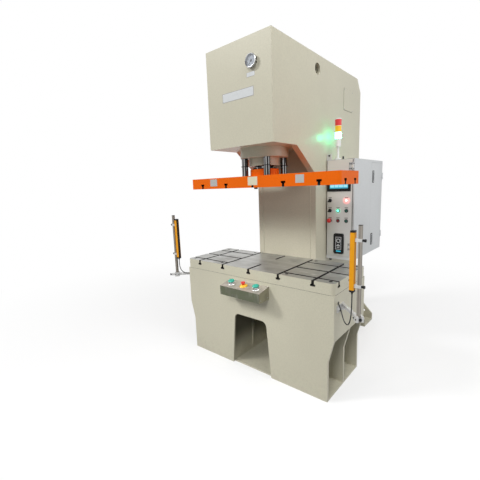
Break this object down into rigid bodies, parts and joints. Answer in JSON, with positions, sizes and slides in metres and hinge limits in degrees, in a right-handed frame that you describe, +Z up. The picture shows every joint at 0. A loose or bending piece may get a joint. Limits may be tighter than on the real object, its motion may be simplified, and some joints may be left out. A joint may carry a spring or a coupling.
{
  "type": "hydraulic C-frame press",
  "caption": "Floor-standing hydraulic C-frame press with a slotted bed, a rod-guided platen, a two-hand console, light curtains and a side control cabinet.",
  "frame": {"origin": "on the floor, straight under the ram axis", "axes": "+Z up, -Y towards the operator at the bed front, +X to the operator's right, where the cabinet is"},
  "size_m": [1.8014, 1.66, 2.459],
  "materials": {
    "cream_paint": "satin",
    "orange_paint": "satin",
    "ground_steel": "ground",
    "bright_steel": "polished",
    "plain_steel": "satin",
    "black_steel": "blackened",
    "bronze": "satin",
    "tank_paint": "satin",
    "motor_paint": "satin",
    "cast_grey": "rough",
    "cabinet_paint": "textured powder coat",
    "gear_plastic": "matte",
    "black_plastic": "matte",
    "gauge_metal": "polished",
    "tag_plate": "satin",
    "green_plastic": "gloss",
    "red_plastic": "gloss",
    "dark_red_plastic": "gloss",
    "dark_green_plastic": "gloss",
    "teal_plastic": "gloss",
    "lens_plastic": "gloss",
    "pole_plastic": "satin",
    "console_steel": "brushed",
    "curtain_yellow": "painted",
    "profile_aluminium": "anodised",
    "cable_rubber": "matte"
  },
  "bodies": {
    "frame": {"base_plate": "cream_paint", "bed_front_plate": "cream_paint", "bed_ribs": "cream_paint", "bed_side_walls": "cream_paint", "work_table": "ground_steel", "table_bolts": "black_steel", "column_side_left": "cream_paint", "column_side_right": "cream_paint", "column_web": "cream_paint", "head_front_plate": "cream_paint", "head_bottom_plate": "cream_paint", "head_top_plate": "cream_paint", "rear_cover": "cream_paint", "access_panel": "cream_paint", "rear_feet": "cream_paint", "cylinder_barrel": "cream_paint", "cylinder_cap": "plain_steel", "guide_bushes": "bronze", "oil_tank": "tank_paint", "pump_motor": "motor_paint", "oil_pump": "cast_grey", "valve_block": "cast_grey", "oil_pipes": "plain_steel", "gauge_case": "gauge_metal", "head_tags": "tag_plate", "cabinet_box": "cabinet_paint", "control_gear": "gear_plastic", "cabinet_glands": "black_plastic", "stack_pole": "pole_plastic", "stack_lenses": "lens_plastic", "console_box": "console_steel", "console_collars": "gauge_metal", "curtain_bars": "curtain_yellow", "curtain_posts": "profile_aluminium", "curtain_arms": "profile_aluminium", "cable_left": "cable_rubber", "cable_right": "cable_rubber"},
    "ram": {"piston_rod": "bright_steel", "rod_flange": "orange_paint", "guide_rods": "bright_steel", "platen": "orange_paint", "platen_tags": "tag_plate", "ram_screws": "black_steel"},
    "door": {"cabinet_door": "cabinet_paint", "operator_panel": "black_plastic", "socket_frame": "black_plastic", "control_rings": "gauge_metal"},
    "rotor": {"motor_shaft": "plain_steel"},
    "needle": {"gauge_needle": "black_plastic"},
    "side_leaf": {"side_door": "cabinet_paint"},
    "start": {"start_button": "green_plastic"},
    "stop": {"stop_button": "dark_red_plastic"},
    "up": {"up_button": "dark_green_plastic"},
    "down": {"down_button": "dark_green_plastic"},
    "mode": {"mode_selector": "black_plastic"},
    "pump": {"pump_selector": "black_plastic"},
    "cabinet_stop": {"cabinet_estop": "red_plastic"},
    "palm_left": {"palm_button_left": "teal_plastic"},
    "palm_right": {"palm_button_right": "teal_plastic"},
    "console_stop": {"console_estop": "red_plastic"}
  },
  "joints": [
    {"name": "ram_slide", "type": "slide", "parent": "frame", "child": "ram", "axis": [0, 0, -1], "range_m": [0, 0.4]},
    {"name": "motor_spin", "type": "hinge", "parent": "frame", "child": "rotor", "pos_m": [0, 0.6872, 0.9], "axis": [0, 0, 1], "continuous": true},
    {"name": "gauge_swing", "type": "hinge", "parent": "frame", "child": "needle", "pos_m": [0.138, -0.299, 2.294], "axis": [0, 1, 0], "range_deg": [0, 270], "stiffness_Nm_per_rad": 0.002, "springref_deg": -28.65},
    {"name": "door_hinge", "type": "hinge", "parent": "frame", "child": "door", "pos_m": [0.52325, 0.487, 1.2], "axis": [0, 0, 1], "range_deg": [0, 110]},
    {"name": "side_door_hinge", "type": "hinge", "parent": "frame", "child": "side_leaf", "pos_m": [0.54, 1.198, 1.2], "axis": [0, 0, 1], "range_deg": [0, 110]},
    {"name": "start_press", "type": "slide", "parent": "door", "child": "start", "axis": [0, 1, 0], "range_m": [0, 0.003], "stiffness_N_per_m": 400, "springref_m": -0.004},
    {"name": "stop_press", "type": "slide", "parent": "door", "child": "stop", "axis": [0, 1, 0], "range_m": [0, 0.003], "stiffness_N_per_m": 400, "springref_m": -0.004},
    {"name": "up_press", "type": "slide", "parent": "door", "child": "up", "axis": [0, 1, 0], "range_m": [0, 0.003], "stiffness_N_per_m": 400, "springref_m": -0.004},
    {"name": "down_press", "type": "slide", "parent": "door", "child": "down", "axis": [0, 1, 0], "range_m": [0, 0.003], "stiffness_N_per_m": 400, "springref_m": -0.004},
    {"name": "mode_turn", "type": "hinge", "parent": "door", "child": "mode", "pos_m": [0.328, 0.492, 1.335], "axis": [0, 1, 0], "range_deg": [0, 90]},
    {"name": "pump_turn", "type": "hinge", "parent": "door", "child": "pump", "pos_m": [0.328, 0.492, 1.249], "axis": [0, 1, 0], "range_deg": [0, 90]},
    {"name": "cabinet_stop_press", "type": "slide", "parent": "door", "child": "cabinet_stop", "axis": [0, 1, 0], "range_m": [0, 0.004]},
    {"name": "palm_left_press", "type": "slide", "parent": "frame", "child": "palm_left", "axis": [0, 0.2084, -0.978], "range_m": [0, 0.006], "stiffness_N_per_m": 500, "springref_m": -0.005},
    {"name": "palm_right_press", "type": "slide", "parent": "frame", "child": "palm_right", "axis": [0, 0.2084, -0.978], "range_m": [0, 0.006], "stiffness_N_per_m": 500, "springref_m": -0.005},
    {"name": "console_stop_press", "type": "slide", "parent": "frame", "child": "console_stop", "axis": [0, 0.2084, -0.978], "range_m": [0, 0.006]}
  ]
}
